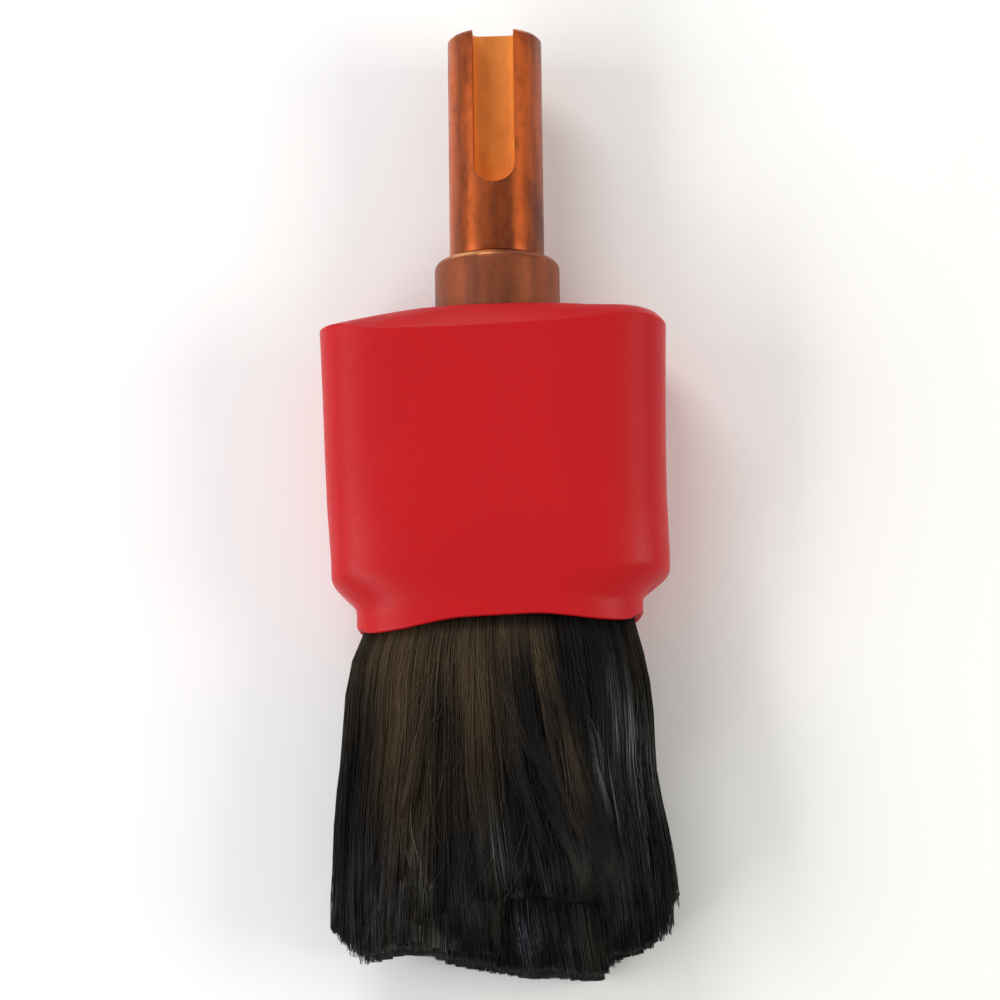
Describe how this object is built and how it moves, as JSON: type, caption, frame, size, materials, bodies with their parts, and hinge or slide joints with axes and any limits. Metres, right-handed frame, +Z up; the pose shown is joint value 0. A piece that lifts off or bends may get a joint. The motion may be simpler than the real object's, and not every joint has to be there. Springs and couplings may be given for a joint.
{
  "type": "weld cleaning brush head",
  "caption": "Plug-in brush head: keyed copper shank with collar, wide flat insulating sleeve and a flared tuft of conductive carbon-fibre tows.",
  "frame": {"origin": "centre of the bounding box in X and Y, on the plane that the head lies on", "axes": "+Y along the head towards the free end of the shank, +X across the width, +Z up through the thickness, out of the face that the key slot is cut in"},
  "size_m": [0.0432, 0.1194, 0.0194],
  "materials": {
    "rod_copper": "satin",
    "collar_copper": "matte",
    "ferrule_copper": "satin",
    "pin_steel": "satin",
    "resin": "matte",
    "sleeve_red": "satin",
    "carbon_fibre": "satin"
  },
  "bodies": {
    "root": {"shank_rod": "rod_copper", "shank_collar": "collar_copper", "header_block": "ferrule_copper", "cross_pin": "pin_steel", "ferrule_shell": "ferrule_copper", "ferrule_rivets": "ferrule_copper", "core_rods": "ferrule_copper", "resin_plug": "resin", "insulating_sleeve": "sleeve_red", "tow_back_1": "carbon_fibre", "tow_back_2": "carbon_fibre", "tow_back_3": "carbon_fibre", "tow_back_4": "carbon_fibre", "tow_back_5": "carbon_fibre", "tow_back_6": "carbon_fibre", "tow_back_7": "carbon_fibre", "tow_middle_1": "carbon_fibre", "tow_middle_2": "carbon_fibre", "tow_middle_3": "carbon_fibre", "tow_middle_4": "carbon_fibre", "tow_middle_5": "carbon_fibre", "tow_middle_6": "carbon_fibre", "tow_middle_7": "carbon_fibre", "tow_front_1": "carbon_fibre", "tow_front_2": "carbon_fibre", "tow_front_3": "carbon_fibre", "tow_front_4": "carbon_fibre", "tow_front_5": "carbon_fibre", "tow_front_6": "carbon_fibre", "tow_front_7": "carbon_fibre"}
  },
  "joints": []
}
